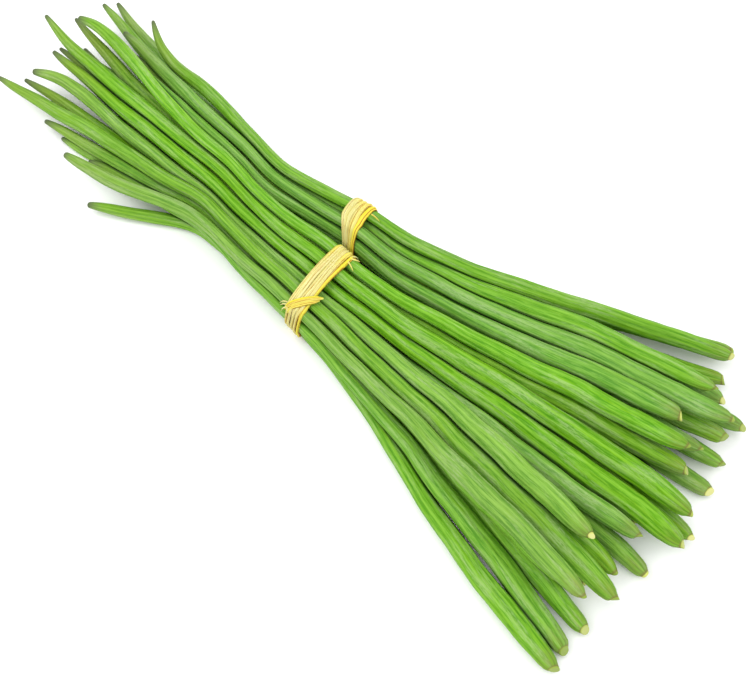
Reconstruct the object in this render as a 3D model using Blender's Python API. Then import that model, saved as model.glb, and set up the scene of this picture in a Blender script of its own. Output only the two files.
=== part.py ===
# A bunch of fresh moringa pods lying on a table, tied in the middle with a strip of raffia.
# The long pods run along X, thin tips to -X and thick stalk ends to +X, and fan out from the tie.
# The raffia goes round the bunch as a figure of eight: one turn round the front half of the pods,
# one turn round the back half, crossing between them.
import math

import bmesh
import bpy
import numpy as np

# Sizes below are in millimetres, with X and Y measured from the middle of the tie
MM = 0.001

# A pod's radius at steps along it, from the tip for a pod of the usual length, and from the stalk end
USUAL_LENGTH = 480
TIP_STEPS = (0, 12, 32, 60, 90, 140, 220, 300, 380, 430)
TIP_RADII = (1.1, 2.4, 3.6, 4.4, 4.4, 4.0, 4.0, 4.8, 6.1, 7.1)
STALK_STEPS = (0, 3, 6, 20, 38, 62)
STALK_RADII = (1.8, 2.1, 3.8, 5.9, 6.8, 7.2)

# Nine ribs run the length of a pod, and three of them, where its valves meet, stand a little higher
RIB_COUNT = 9
RIB_DEPTH = 0.10
VALVE_COUNT = 3
VALVE_DEPTH = 0.05
GOLDEN_ANGLE = math.pi * (3 - math.sqrt(5))
TWIST_PER_MM = 0.0035

# Sections across a pod: three near the tip, four near the stalk, and the bunch's own stations between
TIP_RINGS = (0, 12, 32)
STALK_RINGS = (20, 6, 3, 0)
LEAST_RING_STEP = 16
STATIONS = (-290, -196, -150, -100, -58, -16, 16, 58, 112, 166, 218, 290)

# Where the bunch is squeezed: under the raffia, and at the neck where the two halves cross
TIE_SIDES = (-16, 16)
NECK_X = -80
NECK_SHARE = 0.68
ROW_PITCH = 8.9
ROW_HEIGHTS = {"low": 6.0, "middle": 13.5, "top": 21.0}
FRONT_MIDDLE_Y = -14.0
BACK_MIDDLE_Y = 34.5

# The raffia strip
STRIP_THICK = 1.0
STRIP_GAP = 0.35
STRIP_WIDE = 12
STRIP_SIDES = 44
FRONT_TURN_X = 5
FRONT_TURN_LEAN = 1.5
BACK_TURN_X = -6
BACK_TURN_LEAN = 2.5
BACK_TURN_FLOOR = 0.04

# The strip's section, as shares of its width and thickness, and which point of it is the top
STRIP_SECTION = ((-0.5, 0), (0.5, 0), (0.5, 0.6), (0.17, 1), (-0.17, 0.9), (-0.5, 0.6))
TOP_OF_SECTION = 3

# The loose end over the knot: x, y, half width and half thickness along it
KNOT_PATH = (
    (0.5, -35, 1.6, 0.6),
    (3, -32.5, 3.2, 1.3),
    (7, -28.5, 3.4, 1.6),
    (10, -25.5, 2.4, 1.3),
    (13, -22.5, 1.7, 0.9),
    (16, -19.5, 0.7, 0.6),
)
KNOT_SUNK = 0.5
KNOT_HEADING = math.radians(45)
KNOT_SIDES = 10

# The plane between the halves, where the strip crosses over itself
SPLIT_Y = 16.5
SPLIT_Z = 14
SPLIT_LEAN = math.radians(10)
SPLIT_THICK = 0.7

# How far the pods may lie to each side at places along the bunch: x, least y, most y
SIDE_LIMITS = (
    (-290, -80, 80),
    (-150, -80, 50),
    (-100, -46, 41),
    (-80, -36, 36.5),
    (-50, -38, 39.5),
    (-15, -44, 50),
    (15, -45, 50),
    (50, -49, 60),
    (110, -71, 83),
    (290, -150, 170),
)

# How close pods may come, how far the table flattens them, and how finely they are compared
POD_GAP = 0.4
FLAT_DEPTH = 0.15
COMPARE_STEP = 8
NEAR_ROOM = 5
NEIGHBOUR_ROUNDS = 25

# The pods of each row, in order from -Y to +Y: tip x, tip y, stalk end x, stalk end y, girth
PODS = {
    ("front", "low"): (
        (-148, -79, 258, -99, 0.98),
        (-198, -38, 256, -70, 0.92),
        (-170, -26, 238, -44, 0.95),
        (-223, -27, 260, -23, 0.94),
        (-180, 4, 236, 2, 0.95),
        (-236, 18, 256, 41, 0.92),
    ),
    ("front", "middle"): (
        (-171, -40, 255, -86, 1.02),
        (-212, -39, 232, -60, 0.95),
        (-242, -22, 248, -34, 1.00),
        (-208, -8, 246, -13, 0.98),
        (-239, 7, 266, 10, 0.95),
        (-247, 23, 240, 40, 1.00),
        (-196, 36, 226, 30, 0.92),
    ),
    ("front", "top"): (
        (-181, -50, 248, -65, 1.00),
        (-257, -34, 259, -49, 1.05),
        (-237, -22, 228, -37, 0.98),
        (-239, -3, 267, 2, 1.08),
        (-261, 15, 259, 18, 1.05),
        (-240, 25, 234, 45, 0.95),
    ),
    ("back", "low"): (
        (-222, 3, 251, 62, 0.95),
        (-186, 25, 246, 88, 0.95),
        (-208, 44, 218, 106, 0.96),
        (-184, 48, 210, 117, 1.00),
    ),
    ("back", "middle"): (
        (-240, 14, 238, 52, 0.92),
        (-236, 37, 243, 67, 0.96),
        (-246, 58, 228, 92, 1.00),
    ),
    ("back", "top"): (
        (-236, 30, 220, 55, 0.98),
        (-214, 42, 242, 74, 1.02),
        (-249, 49, 223, 89, 1.00),
        (-210, 69, 214, 110, 0.98),
    ),
}

# Where a pod's way bends beside its straight run: row and place in it, then x and y
BENDS = {
    ("front", "low", 0): ((-100, -38), (166, -84)),
    ("back", "top", 3): ((-196, 47),),
}


def gather_pods():
    """One record for each pod, with its place where the bunch is tied."""
    pods = []
    for (half, row), entries in PODS.items():
        middle = FRONT_MIDDLE_Y if half == "front" else BACK_MIDDLE_Y
        for index, (tip_x, tip_y, stalk_x, stalk_y, girth) in enumerate(entries):
            across = (index - (len(entries) - 1) / 2) * ROW_PITCH
            pods.append({
                "half": half,
                "row": row,
                "tip": (tip_x, tip_y),
                "waist": middle + across,
                "bends": BENDS.get((half, row, index), ()),
                "stalk": (stalk_x, stalk_y),
                "girth": girth,
            })
    return pods


def pod_radius(pod, x):
    """Radius of the pod at the stations x."""
    length = pod["stalk"][0] - pod["tip"][0]
    from_tip = (x - pod["tip"][0]) * USUAL_LENGTH / length
    from_stalk = pod["stalk"][0] - x
    tip_part = np.interp(from_tip, TIP_STEPS, TIP_RADII)
    stalk_part = np.interp(from_stalk, STALK_STEPS, STALK_RADII)
    return np.minimum(tip_part, stalk_part) * pod["girth"]


class Layout:
    """The pods' middle lines, as Y and Z at the bunch's stations, spread until no two pods touch."""

    def __init__(self, pods):
        self.pods = pods
        self.stations = np.array(STATIONS, float)
        self.fine = np.arange(STATIONS[0] + 4, STATIONS[-1], COMPARE_STEP, dtype=float)
        self.weights, self.rates = self.interpolation()
        self.radii = np.array([pod_radius(pod, self.fine) for pod in pods])
        tips = np.array([pod["tip"][0] for pod in pods])
        stalks = np.array([pod["stalk"][0] for pod in pods])
        self.present = (self.fine >= tips[:, None]) & (self.fine <= stalks[:, None])
        self.used = (self.present.astype(float) @ self.weights) > 0
        self.at_tie = (self.fine > TIE_SIDES[0]) & (self.fine < TIE_SIDES[1])
        xs, least, most = zip(*SIDE_LIMITS)
        self.least = np.interp(self.fine, xs, least)
        self.most = np.interp(self.fine, xs, most)
        self.is_front = np.array([pod["half"] == "front" for pod in pods])
        self.pairs = np.triu_indices(len(pods), 1)
        self.wanted, self.held = self.plan_targets()
        self.line = self.starting_lines()

    def interpolation(self):
        """Matrices that read a station table at the fine places: its values and its slopes."""
        segment = np.searchsorted(self.stations, self.fine) - 1
        step = np.diff(self.stations)[segment]
        share = (self.fine - self.stations[segment]) / step
        weights = np.zeros((len(self.fine), len(self.stations)))
        rates = np.zeros_like(weights)
        rows = np.arange(len(self.fine))
        weights[rows, segment] = 1 - share
        weights[rows, segment + 1] = share
        rates[rows, segment] = -1 / step
        rates[rows, segment + 1] = 1 / step
        return weights, rates

    def knots(self, pod):
        """The places in plan that a pod passes, from its tip to its stalk end."""
        neck = (NECK_X, pod["waist"] * NECK_SHARE)
        tied = [(x, pod["waist"]) for x in TIE_SIDES]
        return zip(*sorted([pod["tip"], neck, *tied, pod["stalk"], *pod["bends"]]))

    def plan_targets(self):
        """The wanted Y at the fine places, and which of them are held to it."""
        wanted = np.zeros((len(self.pods), len(self.fine)))
        held = np.zeros_like(wanted, dtype=bool)
        for index, pod in enumerate(self.pods):
            xs, ys = self.knots(pod)
            wanted[index] = np.interp(self.fine, xs, ys)
            for x in xs:
                held[index] |= np.abs(self.fine - x) <= COMPARE_STEP * 1.5
        return wanted, held & self.present

    def starting_lines(self):
        line = np.zeros((len(self.pods), len(self.stations), 2))
        for index, pod in enumerate(self.pods):
            xs, ys = self.knots(pod)
            line[index, :, 0] = np.interp(self.stations, xs, ys)
            line[index, :, 1] = ROW_HEIGHTS[pod["row"]]
        return line

    def share_out(self, moves, active):
        """Moves wanted at the fine places, averaged onto the stations beside them."""
        weight = active[..., None] * np.ones(2)
        total = self.weights.T @ (moves * weight)
        count = self.weights.T @ weight
        return np.where(count > 0, total / np.maximum(count, 0.25), 0)

    def find_neighbours(self):
        """Keeps for comparison the pairs of pods that come near each other anywhere."""
        points = self.weights @ self.line
        first, second = self.pairs
        distance = np.sqrt(((points[first] - points[second]) ** 2).sum(-1))
        room = distance - self.radii[first] - self.radii[second]
        both = self.present[first] & self.present[second]
        near = np.where(both, room, np.inf).min(1) < NEAR_ROOM
        self.first, self.second = first[near], second[near]
        everyone = np.arange(len(self.pods))[:, None]
        self.is_first = (everyone == self.first).astype(float)
        self.is_second = (everyone == self.second).astype(float)

    def contact_moves(self, points, slopes):
        """Moves that part each pair of pods closer than their radii and the gap."""
        apart = points[self.first] - points[self.second]
        lean = (slopes[self.first] + slopes[self.second]) / 2
        along = (apart * lean).sum(-1, keepdims=True) / (1 + (lean**2).sum(-1, keepdims=True))
        square = apart - lean * along
        distance = np.sqrt(np.maximum((apart**2).sum(-1) - (apart * lean).sum(-1) * along[..., 0], 1e-9))
        needed = self.radii[self.first] + self.radii[self.second] + POD_GAP
        both = self.present[self.first] & self.present[self.second]
        short = np.where(both, needed - distance, 0)
        touching = short > 0
        size = np.maximum((square**2).sum(-1), 1e-9)
        move = square * (np.where(touching, short, 0) * distance / size / 2)[..., None]
        flat = move.reshape(len(move), -1)
        moves = ((self.is_first - self.is_second) @ flat).reshape(points.shape)
        counts = (self.is_first + self.is_second) @ touching
        return moves / np.maximum(counts, 1)[..., None], counts > 0

    def border_moves(self, points, limited):
        """Moves that keep pods above the table and raffia, on their side of the crossing, and in limits."""
        moves = np.zeros_like(points)
        floor = np.where(self.at_tie, STRIP_THICK + STRIP_GAP, 0) - FLAT_DEPTH
        low = self.radii + floor - points[..., 1]
        moves[..., 1] = np.maximum(low, 0)
        side = np.where(self.is_front, -1, 1)[:, None]
        normal = np.array([math.cos(SPLIT_LEAN), -math.sin(SPLIT_LEAN)])
        beyond = side * ((points - (SPLIT_Y, SPLIT_Z)) @ normal)
        crossed = self.radii + SPLIT_THICK + STRIP_GAP - beyond
        crossed = np.where(self.at_tie, np.maximum(crossed, 0), 0)
        moves += (side * crossed)[..., None] * normal
        under = np.where(limited, self.least + self.radii - points[..., 0], 0)
        over = np.where(limited, points[..., 0] + self.radii - self.most, 0)
        moves[..., 0] += np.maximum(under, 0) - np.maximum(over, 0)
        active = self.present & ((low > 0) | (under > 0) | (over > 0) | (crossed > 0))
        return moves, active

    def straighten(self, amount):
        """Draws each three neighbouring stations towards a straight line."""
        before, after = np.diff(self.stations)[:-1], np.diff(self.stations)[1:]
        share = (before / (before + after))[None, :, None]
        middle = self.line[:, :-2] * (1 - share) + self.line[:, 2:] * share
        inner = self.used[:, :-2] & self.used[:, 1:-1] & self.used[:, 2:]
        move = amount * (middle - self.line[:, 1:-1]) * inner[..., None]
        self.line[:, 1:-1] += move
        self.line[:, :-2] -= move / 2
        self.line[:, 2:] -= move / 2

    def arrange(self, rounds, hold, stiff, lower, push, limited=True):
        """Pulls the pods to their plan, straightens and lowers them, then parts those that touch."""
        for turn in range(rounds):
            if turn % NEIGHBOUR_ROUNDS == 0:
                self.find_neighbours()
            self.straighten(stiff)
            self.line[..., 1] -= lower * self.used
            points = self.weights @ self.line
            if hold:
                pull = np.zeros_like(points)
                pull[..., 0] = self.wanted - points[..., 0]
                self.line += hold * self.share_out(pull, self.held)
            for _ in range(2):
                points = self.weights @ self.line
                slopes = self.rates @ self.line
                moves, active = self.contact_moves(points, slopes)
                self.line += push * self.share_out(moves, active)
                points = self.weights @ self.line
                moves, active = self.border_moves(points, limited)
                self.line += push * self.share_out(moves, active)

    def at(self, index, x):
        """Y, Z and their slopes on one pod's middle line at x."""
        segment = min(max(np.searchsorted(self.stations, x, side="right") - 1, 0), len(self.stations) - 2)
        step = self.stations[segment + 1] - self.stations[segment]
        share = (x - self.stations[segment]) / step
        start, end = self.line[index, segment], self.line[index, segment + 1]
        return start + (end - start) * share, (end - start) / step


def lay_out(pods):
    layout = Layout(pods)
    layout.arrange(rounds=500, hold=0.35, stiff=0.25, lower=0.05, push=0.6)
    layout.arrange(rounds=500, hold=0.15, stiff=0.25, lower=0.03, push=0.7)
    layout.arrange(rounds=400, hold=0, stiff=0.01, lower=0, push=0.8)
    layout.arrange(rounds=300, hold=0, stiff=0, lower=0, push=0.8, limited=False)
    return layout


def ring_places(pod):
    """The X of each section across a pod, from tip to stalk end."""
    tip_x, stalk_x = pod["tip"][0], pod["stalk"][0]
    first, last = tip_x + TIP_RINGS[-1], stalk_x - STALK_RINGS[0]
    inner = [x for x in STATIONS if first + LEAST_RING_STEP < x < last - LEAST_RING_STEP]
    return [tip_x + d for d in TIP_RINGS] + inner + [stalk_x - d for d in STALK_RINGS]


def ring_points(layout, index, x):
    """One ribbed section of a pod, square to X, with its underside flat where it meets the table."""
    pod = layout.pods[index]
    (y, z), ahead = layout.at(index, x)
    _, behind = layout.at(index, x - 1)
    slope = (ahead + behind) / 2
    radius = float(pod_radius(pod, x))
    phase = GOLDEN_ANGLE * index + TWIST_PER_MM * x
    points = []
    for step in range(2 * RIB_COUNT):
        angle = math.pi * step / RIB_COUNT + phase
        valley = RIB_DEPTH * (step % 2)
        valve = VALVE_DEPTH * (1 - math.cos(VALVE_COUNT * (angle - phase))) / 2
        tilt = (math.cos(angle) * slope[0] + math.sin(angle) * slope[1]) ** 2 / (1 + slope @ slope)
        reach = radius * (1 - valley - valve) / math.sqrt(1 - tilt)
        points.append((x, y + reach * math.cos(angle), max(z + reach * math.sin(angle), 0)))
    return points


def loft(name, rings, closed, material):
    """A skin over rings of equal point counts, capped at its ends, or closed on itself."""
    mesh = bmesh.new()
    verts = [[mesh.verts.new([value * MM for value in point]) for point in ring] for ring in rings]
    count = len(rings[0])
    pairs = list(zip(verts, verts[1:] + verts[:1])) if closed else list(zip(verts, verts[1:]))
    for ring, following in pairs:
        for side in range(count):
            after = (side + 1) % count
            mesh.faces.new((ring[side], ring[after], following[after], following[side]))
    if not closed:
        mesh.faces.new(verts[0])
        mesh.faces.new(verts[-1])
    bmesh.ops.recalc_face_normals(mesh, faces=mesh.faces)
    data = bpy.data.meshes.new(name)
    mesh.to_mesh(data)
    mesh.free()
    data.shade_smooth()
    data.set_sharp_from_angle(angle=math.radians(40))
    data.materials.append(material)
    return bpy.data.objects.new(name, data)


def loop_points(layout, half, from_x, to_x, outward):
    """Corners, as Y and Z, of a tight loop round half of the pods between two places along them."""
    members = [index for index, pod in enumerate(layout.pods) if pod["half"] == half]
    facing = np.linspace(0, 2 * math.pi, STRIP_SIDES + 1)
    normals = np.stack([np.cos(facing), np.sin(facing)])
    support = np.full(len(facing), -np.inf)
    for x in (from_x, to_x):
        centres = np.array([layout.at(index, x)[0] for index in members])
        radii = np.array([float(pod_radius(layout.pods[index], x)) for index in members])
        support = np.maximum(support, (centres @ normals + radii[:, None]).max(0))
    support += outward
    sine, cosine = np.sin(facing), np.cos(facing)
    turn = math.sin(2 * math.pi / STRIP_SIDES)
    ys = (support[:-1] * sine[1:] - support[1:] * sine[:-1]) / turn
    zs = (support[1:] * cosine[:-1] - support[:-1] * cosine[1:]) / turn
    return np.stack([ys, zs], axis=1)


def strip_turn(layout, half, centre_x, lean, floor, material):
    """One turn of the strip round a half of the bunch, shifting along X by lean from side to side."""
    from_x, to_x = centre_x - STRIP_WIDE / 2 - abs(lean), centre_x + STRIP_WIDE / 2 + abs(lean)
    loops = []
    for across, rise in STRIP_SECTION:
        corners = loop_points(layout, half, from_x, to_x, STRIP_GAP + rise * STRIP_THICK)
        middle, reach = corners[:, 0].mean(), np.ptp(corners[:, 0]) / 2
        xs = centre_x + across * STRIP_WIDE - lean * (corners[:, 0] - middle) / reach
        loops.append(np.column_stack([xs, corners[:, 0], np.maximum(corners[:, 1], floor)]))
    rings = np.stack(loops, axis=1)
    return loft("raffia_turn", rings, True, material), loops[TOP_OF_SECTION]


def loose_end(loop, material):
    """The strip's end, pulled across its own turn at the knot and left pointing out to one side."""
    upper = loop[loop[:, 2] > loop[:, 2].mean()]
    upper = upper[np.argsort(upper[:, 1])]
    rings = []
    for x, y, half_wide, half_thick in KNOT_PATH:
        z = np.interp(y, upper[:, 1], upper[:, 2])
        ring = []
        for step in range(KNOT_SIDES):
            angle = 2 * math.pi * step / KNOT_SIDES
            side, up = half_wide * math.cos(angle), max(half_thick * math.sin(angle), -KNOT_SUNK)
            ring.append((x - side * math.sin(KNOT_HEADING), y + side * math.cos(KNOT_HEADING), z + up))
        rings.append(ring)
    return loft("raffia_end", rings, False, material)


def joined(name, pieces, collection):
    """One body out of several that overlap."""
    others = bpy.data.collections.new("to_join")
    for piece in pieces[1:]:
        others.objects.link(piece)
    first = pieces[0]
    collection.objects.link(first)
    union = first.modifiers.new("union", "BOOLEAN")
    union.operation = "UNION"
    union.operand_type = "COLLECTION"
    union.collection = others
    union.solver = "EXACT"
    evaluated = first.evaluated_get(bpy.context.evaluated_depsgraph_get())
    data = bpy.data.meshes.new_from_object(evaluated)
    for piece in pieces:
        bpy.data.objects.remove(piece)
    bpy.data.collections.remove(others)
    data.name = name
    collection.objects.link(bpy.data.objects.new(name, data))


def centre_on_origin(collection):
    """Moves every piece alike, so that the bunch's underside is centred on the origin."""
    corners = [corner.co for piece in collection.objects for corner in piece.data.vertices]
    low = np.min(corners, axis=0)
    high = np.max(corners, axis=0)
    middle = (low + high) / 2
    for piece in collection.objects:
        piece.location = (-middle[0], -middle[1], -low[2])


def plain_material(name, colour, roughness):
    material = bpy.data.materials.new(name)
    material.use_nodes = True
    shader = material.node_tree.nodes["Principled BSDF"]
    shader.inputs["Base Color"].default_value = (*colour, 1)
    shader.inputs["Roughness"].default_value = roughness
    shader.inputs["Metallic"].default_value = 0
    return material


def build():
    for old in list(bpy.data.objects):
        bpy.data.objects.remove(old)
    bunch = bpy.data.collections.new("moringa_bunch")
    bpy.context.scene.collection.children.link(bunch)
    pods = gather_pods()
    layout = lay_out(pods)
    for index, pod in enumerate(pods):
        name = f"pod_{index + 1:02d}"
        green = plain_material(name, (0.24, 0.46, 0.07), 0.5)
        rings = [ring_points(layout, index, x) for x in ring_places(pod)]
        bunch.objects.link(loft(name, rings, False, green))
    straw = plain_material("raffia_tie", (0.85, 0.72, 0.30), 0.6)
    front, loop = strip_turn(layout, "front", FRONT_TURN_X, FRONT_TURN_LEAN, 0, straw)
    back, _ = strip_turn(layout, "back", BACK_TURN_X, BACK_TURN_LEAN, BACK_TURN_FLOOR, straw)
    joined("raffia_tie", [front, back, loose_end(loop, straw)], bunch)
    centre_on_origin(bunch)


build()
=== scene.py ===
# The looks of a bunch of moringa pods tied with raffia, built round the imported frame
import math
import random

import bpy
import numpy as np
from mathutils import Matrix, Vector


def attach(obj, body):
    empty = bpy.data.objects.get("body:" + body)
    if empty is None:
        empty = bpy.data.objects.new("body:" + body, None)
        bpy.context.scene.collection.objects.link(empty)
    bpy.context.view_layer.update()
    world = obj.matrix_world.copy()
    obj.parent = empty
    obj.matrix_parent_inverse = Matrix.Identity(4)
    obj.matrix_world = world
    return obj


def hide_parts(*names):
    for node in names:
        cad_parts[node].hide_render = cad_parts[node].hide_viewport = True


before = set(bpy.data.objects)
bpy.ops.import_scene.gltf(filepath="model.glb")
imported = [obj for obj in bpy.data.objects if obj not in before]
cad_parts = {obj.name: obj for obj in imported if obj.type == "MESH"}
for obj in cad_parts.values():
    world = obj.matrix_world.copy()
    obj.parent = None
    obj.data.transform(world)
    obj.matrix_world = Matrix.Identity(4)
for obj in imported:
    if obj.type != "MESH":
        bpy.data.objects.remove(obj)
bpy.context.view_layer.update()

goldenAngle = math.pi * (3 - math.sqrt(5))
podNames = sorted(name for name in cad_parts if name.startswith("pod_"))
ribOrigin = 0.003  # the solids' ribs turn from the tie's middle, this far from the frame's own
frontPods = 19  # the front half's pods come first in the numbering, then the back half's
tableTop = (-10.0, -10.0, 0.00005)  # the lowest place that a skin reaches

print("frame loaded with", len(podNames), "pods")


# Helpers for node trees

def linkOrSet(tree, socket, value):
    if isinstance(value, bpy.types.NodeSocket):
        tree.links.new(value, socket)
    else:
        socket.default_value = value


def addNode(tree, kind, inputs=None, **settings):
    node = tree.nodes.new(kind)
    for name, value in settings.items():
        setattr(node, name, value)
    for key, value in (inputs or {}).items():
        linkOrSet(tree, node.inputs[key], value)
    return node


def maths(tree, operation, *values):
    return addNode(tree, "ShaderNodeMath", dict(enumerate(values)), operation=operation).outputs[0]


def times(tree, first, second):
    return maths(tree, "MULTIPLY", first, second)


def plus(tree, first, second):
    return maths(tree, "ADD", first, second)


def minus(tree, first, second):
    return maths(tree, "SUBTRACT", first, second)


def combined(tree, x=0, y=0, z=0):
    return addNode(tree, "ShaderNodeCombineXYZ", {0: x, 1: y, 2: z}).outputs[0]


def vectorMaths(tree, operation, first, second=None):
    node = addNode(tree, "ShaderNodeVectorMath", {0: first}, operation=operation)
    if second is not None:
        linkOrSet(tree, node.inputs["Scale" if operation == "SCALE" else 1], second)
    return node.outputs["Value" if operation in ("LENGTH", "DOT_PRODUCT") else "Vector"]


def addSocket(tree, name, kind, default=None, side="INPUT"):
    socket = tree.interface.new_socket(name=name, in_out=side, socket_type=kind)
    if default is not None:
        socket.default_value = default
    return socket


def remap(tree, value, fromLow, fromHigh, toLow=0.0, toHigh=1.0, smooth=True):
    settings = {"interpolation_type": "SMOOTHSTEP"} if smooth else {}
    inputs = {0: value, 1: fromLow, 2: fromHigh, 3: toLow, 4: toHigh}
    return addNode(tree, "ShaderNodeMapRange", inputs, **settings).outputs[0]


def mixColour(tree, factor, first, second):
    return addNode(tree, "ShaderNodeMix", {0: factor, 6: first, 7: second}, data_type="RGBA").outputs[2]


def readNamed(tree, key, kind="FLOAT"):
    return addNode(tree, "GeometryNodeInputNamedAttribute", {"Name": key}, data_type=kind).outputs[0]


def storeNamed(tree, geometry, key, kind, value):
    inputs = {"Geometry": geometry, "Name": key, "Value": value}
    node = addNode(tree, "GeometryNodeStoreNamedAttribute", inputs, data_type=kind, domain="POINT")
    return node.outputs[0]


def sweep(tree, curve, sides, scale=1.0):
    # a round tube along a curve, its ends closed
    hoop = addNode(tree, "GeometryNodeCurvePrimitiveCircle", {"Resolution": sides, "Radius": 1.0}).outputs[0]
    inputs = {"Curve": curve, "Profile Curve": hoop, "Scale": scale, "Fill Caps": True}
    return addNode(tree, "GeometryNodeCurveToMesh", inputs).outputs[0]


def finishTree(tree, skin, material):
    skin = addNode(tree, "GeometryNodeSetShadeSmooth", {0: skin}).outputs[0]
    skin = addNode(tree, "GeometryNodeRealizeInstances", {0: skin}).outputs[0]
    skin = addNode(tree, "GeometryNodeSetMaterial", {"Geometry": skin, "Material": material}).outputs[0]
    addNode(tree, "NodeGroupOutput", {0: skin})
    return tree


def shade(red, green, blue):
    # a screen colour as the linear one that sockets take
    parts = [value / 255 for value in (red, green, blue)]
    return tuple(c / 12.92 if c <= 0.04045 else ((c + 0.055) / 1.055) ** 2.4 for c in parts) + (1.0,)


# The pods' middle lines and girths, read from the frame's solids

def readSections(name):
    points = np.array([v.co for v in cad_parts[name].data.vertices])
    points = points[points[:, 0].argsort()]
    cuts = np.nonzero(np.diff(points[:, 0]) > 0.0005)[0] + 1
    sections = []
    for group in np.split(points, cuts):
        ring = np.unique(np.round(group, 6), axis=0)
        if len(ring) > 11:
            centre = ring.mean(0)
            sections.append((*centre, np.linalg.norm(ring - centre, axis=1).max()))
    return np.array(sections)


def rounded(values, window):
    # a straight-piece line with its corners rounded off, its ends kept
    kernel = np.ones(window) / window
    before = 2 * values[0] - values[window:0:-1]
    after = 2 * values[-1] - values[-2:-window - 2:-1]
    long = np.concatenate([before, values, after])
    for _ in range(2):
        long = np.convolve(long, kernel, "same")
    return long[window:-window]


podLook = {
    "sides": 72,
    "ringStep": 0.0034,
    "tipRings": (0, 0.0002, 0.0006, 0.0013, 0.0025, 0.0045, 0.007),
    "stalkRings": (0, 0.0002, 0.0007, 0.0015, 0.0024, 0.0032, 0.0038, 0.0045, 0.0053, 0.0062, 0.0075),
    "tipSteps": (0, 0.0002, 0.0006, 0.0013, 0.003, 0.006, 0.012, 0.032, 0.070),
    "tipShares": (0.08, 0.20, 0.29, 0.35, 0.41, 0.49, 0.62, 0.86, 1),
    "stalkSteps": (0, 0.0002, 0.0010, 0.0020, 0.0040, 0.0080, 0.0140, 0.0220, 0.0380),
    "stalkShares": (0.18, 0.22, 0.27, 0.41, 0.60, 0.76, 0.88, 0.95, 1.00),
    "widestCut": 0.24,
    "cutReach": 0.013,
    "ribCount": 9,
    "ribDepth": 0.045,
    "valveDepth": 0.09,
    "unevenness": 0.07,
    "seedBulge": 0.02,
    "seedSpacing": 0.019,
    "cutSlant": 0.0014,
    "twist": 3.5,  # radians to the metre
    "tipBend": 0.004,
    "courseWindow": 9,
    "leanWindow": 15,
    "bendReach": 0.08,
    "stalkBend": 0.0028,
    "stalkReach": 0.05,
    "shiftReach": 0.10,
    "sway": 0.0004,
    "swell": 0.045,
    "tieX": -0.003,
    "slimFrom": 0.13,
    "slimOver": 0.07,
    "restShare": 0.97,  # a pod rests this share of its girth above the table, flattened a little
    "cornerWindow": 37,  # millimetres over which a bend is spread
}


# The bunch drawn slimmer: place along it, share of its size kept, and shift sideways
waistLook = (
    (-0.145, 1.000, 0.0000),
    (-0.115, 0.985, 0.0005),
    (-0.090, 0.890, 0.0015),
    (-0.070, 0.895, -0.0024),
    (-0.050, 0.925, -0.0028),
    (-0.030, 0.965, -0.0022),
    (-0.010, 0.975, -0.0018),
    (0.010, 0.935, -0.0032),
    (0.030, 0.905, -0.0035),
    (0.050, 0.920, -0.0030),
    (0.070, 0.935, -0.0030),
    (0.090, 0.945, -0.0020),
    (0.110, 0.965, -0.0010),
    (0.130, 0.990, -0.0007),
    (0.150, 1.000, 0.0000),
)
waistWindow = 21  # millimetres over which its corners are spread

# Tips with a look of their own: bluntness, brownness, and millimetres sideways at tipPlaces from the tip
tipPlaces = (0, 0.010, 0.020, 0.035, 0.060, 0.090, 0.130)
tipKinds = {
    "pod_01": (1.35, 0.35, (-5, -3, -1.5, 1, 3, 2, 0)),
    "pod_02": (1.05, 0.35, (1, 0.8, 0.5, 0.3, 0, 0, 0)),
    "pod_07": (0.95, 0.60, (1, 2, 3, 3, 1.5, 0.5, 0)),
    "pod_08": (1.00, 0.70, (1, 0.8, 0.5, 0.3, 0, 0, 0)),
    "pod_09": (0.90, 1.00, (-3, -2.3, -1.7, -1, -0.2, 0, 0)),
    "pod_11": (0.90, 1.00, (-2, -1.5, -1.1, -0.6, -0.1, 0, 0)),
    "pod_12": (0.85, 1.00, (3, 2.3, 1.7, 1, 0.2, 0, 0)),
    "pod_14": (1.30, 0.30, (-1.5, -2.3, -3.2, -4, -2.2, -0.8, 0)),
    "pod_15": (0.85, 0.55, (-1, -0.8, -0.6, -0.3, 0, 0, 0)),
    "pod_16": (1.40, 0.35, (0, 4, 6.5, 7, 4, 1, 0)),
    "pod_17": (0.90, 0.80, (2.5, 2, 2, 2, 1.5, 1, 0)),
    "pod_18": (0.80, 0.60, (-0.5, -2, -3.2, -4, -4, -2.5, 0)),
    "pod_19": (1.40, 0.40, (0, 4, 6, 7, 4.5, 2, 0)),
    "pod_30": (0.75, 0.70, (-0.5, -4, -6.5, -6.5, -2, 0, 0)),
}


# Stalks that stand aside: millimetres at the cut end
stalkShifts = {"pod_01": 3.0, "pod_30": 2.8, "pod_29": -1.5}

# Pods that lean aside on the way: where along the bunch, and millimetres sideways
leans = {
    "pod_30": ((-0.01, 0), (0.02, -0.8), (0.06, -1.3), (0.10, -0.6), (0.13, 0), (0.16, 1.2), (0.21, 1.6)),
    "pod_29": ((0.12, 0), (0.15, -1.0), (0.18, -1.6), (0.22, -1.6)),
    "pod_23": ((0.12, 0), (0.15, 1.8), (0.20, 2.4)),
    "pod_22": ((0.10, 0), (0.14, -1.8), (0.18, -2.5), (0.21, -2.5)),
}

# Stalk ends that are slimmer than the rest: share of the girth kept
stalkGirths = {"pod_22": 0.84, "pod_23": 0.78, "pod_29": 0.82, "pod_30": 0.80}


def ringPlaces(start, end):
    # close together where the tip and the stalk round off, evenly spread between
    tipRings, stalkRings = np.array(podLook["tipRings"]), np.array(podLook["stalkRings"])
    first, last = start + tipRings[-1], end - stalkRings[-1]
    between = np.linspace(first, last, round((last - first) / podLook["ringStep"]) + 1)[1:-1]
    return np.concatenate([start + tipRings, between, end - stalkRings[::-1]])


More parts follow.
